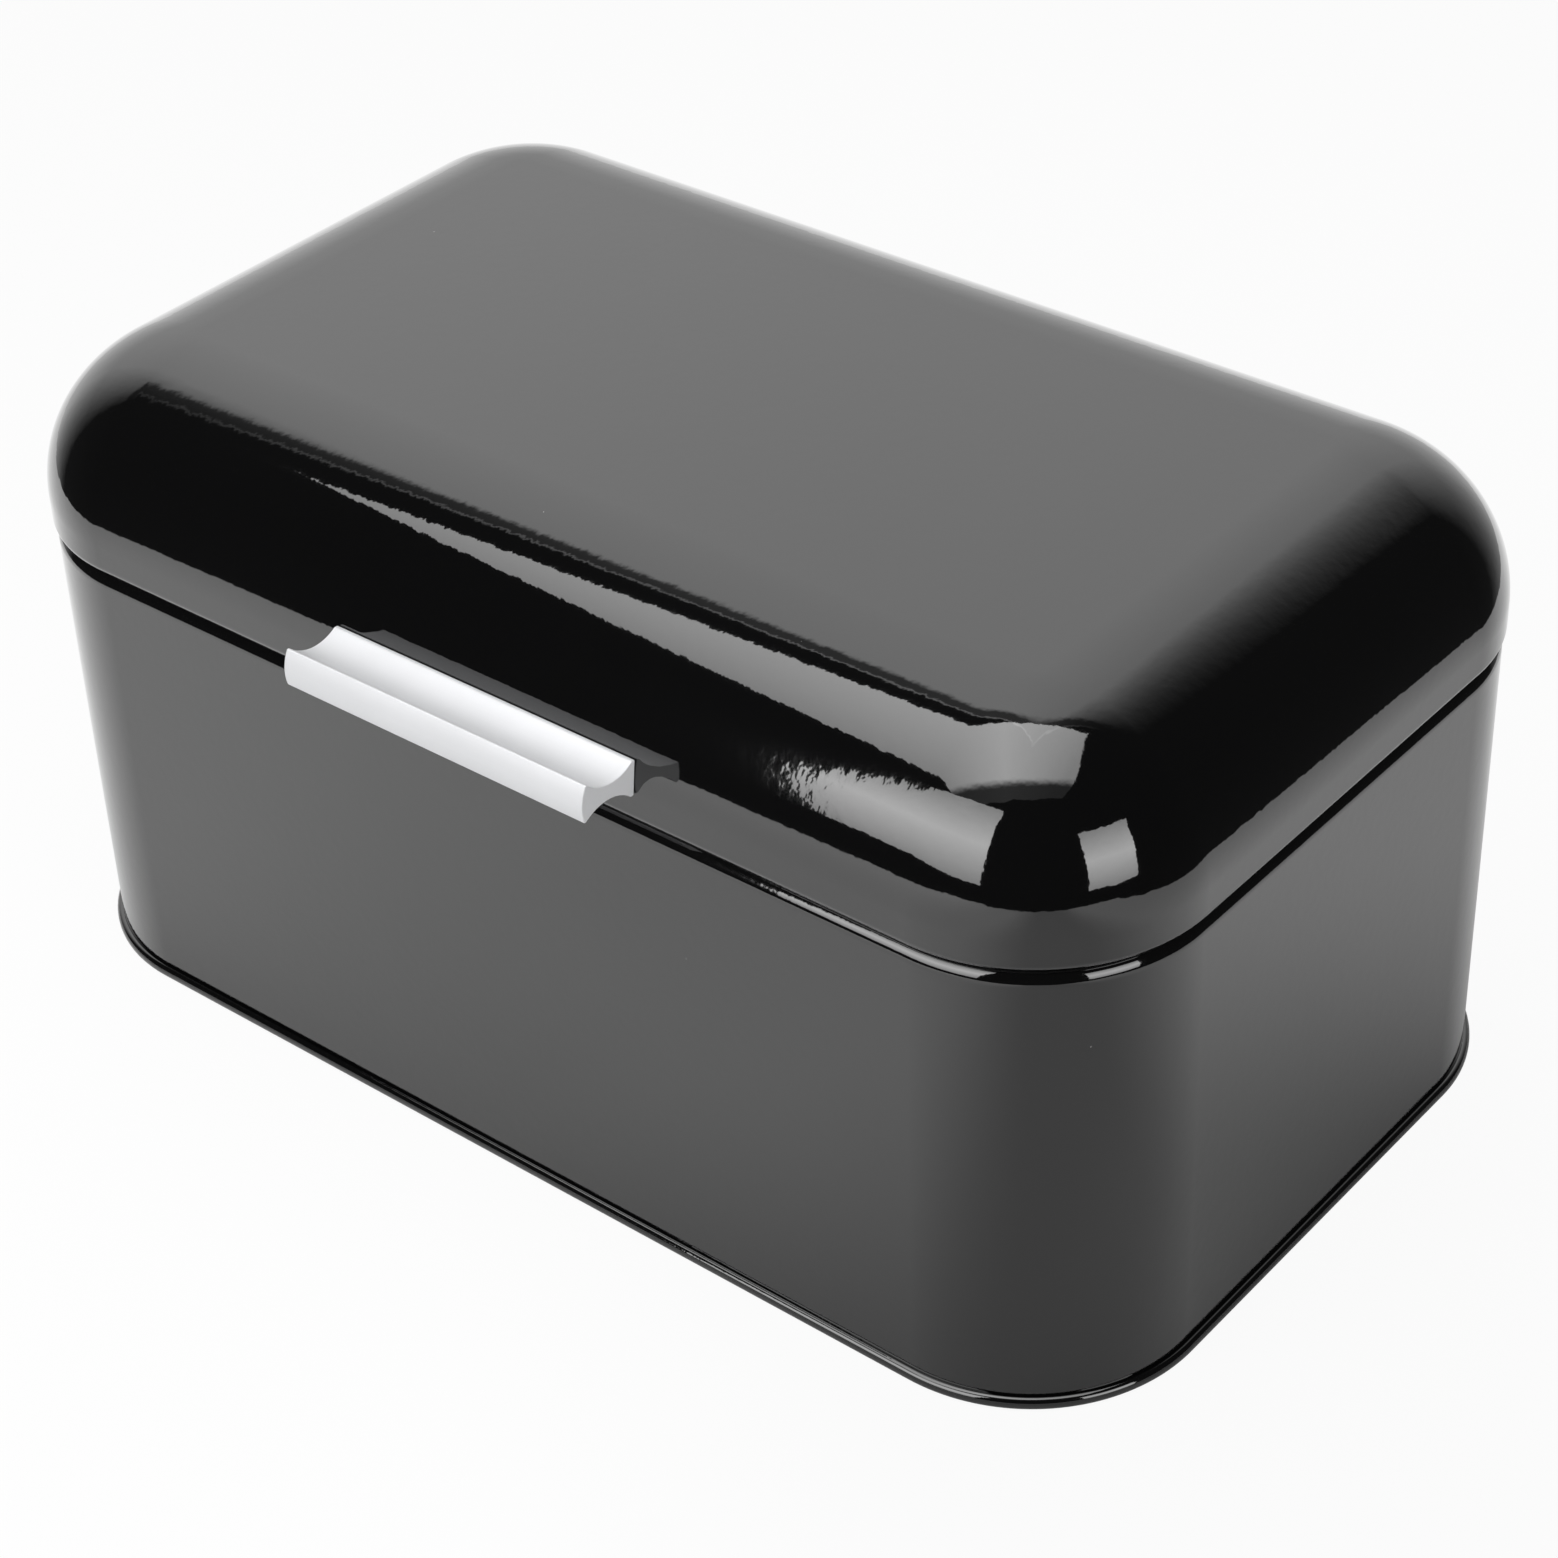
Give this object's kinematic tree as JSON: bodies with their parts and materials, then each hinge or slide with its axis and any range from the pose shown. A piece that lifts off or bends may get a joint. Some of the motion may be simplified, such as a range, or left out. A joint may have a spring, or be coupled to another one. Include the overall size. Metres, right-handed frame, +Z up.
{
  "type": "bread box",
  "caption": "Gloss black sheet-steel bread box with rounded corners, a necked body with a seamed base, a domed lid on rear stop hinges and an extruded aluminium front pull.",
  "frame": {"origin": "centre of the base rim's footprint, on the surface that the box stands on", "axes": "+X right along the long front, +Y to the hinged back, +Z up"},
  "size_m": [0.303, 0.2049, 0.1538],
  "materials": {
    "gloss_enamel": "gloss black enamel",
    "satin_aluminium": "satin anodised",
    "plated_steel": "bright zinc plate"
  },
  "bodies": {
    "box": {"body_shell": "gloss_enamel", "base_plate": "gloss_enamel", "hinge_left_body_leaf": "plated_steel", "hinge_right_body_leaf": "plated_steel", "hinge_left_pin": "plated_steel", "hinge_right_pin": "plated_steel", "hinge_left_body_rivet_1": "plated_steel", "hinge_left_body_rivet_2": "plated_steel", "hinge_right_body_rivet_1": "plated_steel", "hinge_right_body_rivet_2": "plated_steel"},
    "lid": {"lid_shell": "gloss_enamel", "pull_handle": "satin_aluminium", "handle_screw_left": "plated_steel", "handle_washer_left": "plated_steel", "handle_screw_right": "plated_steel", "handle_washer_right": "plated_steel", "hinge_left_lid_leaf": "plated_steel", "hinge_right_lid_leaf": "plated_steel", "hinge_left_lid_rivet_1": "plated_steel", "hinge_left_lid_rivet_2": "plated_steel", "hinge_right_lid_rivet_1": "plated_steel", "hinge_right_lid_rivet_2": "plated_steel"}
  },
  "joints": [
    {"name": "lid_hinge", "type": "hinge", "parent": "box", "child": "lid", "pos_m": [0, 0.0934, 0.1117], "axis": [-1, 0, 0], "range_deg": [0, 100]}
  ]
}
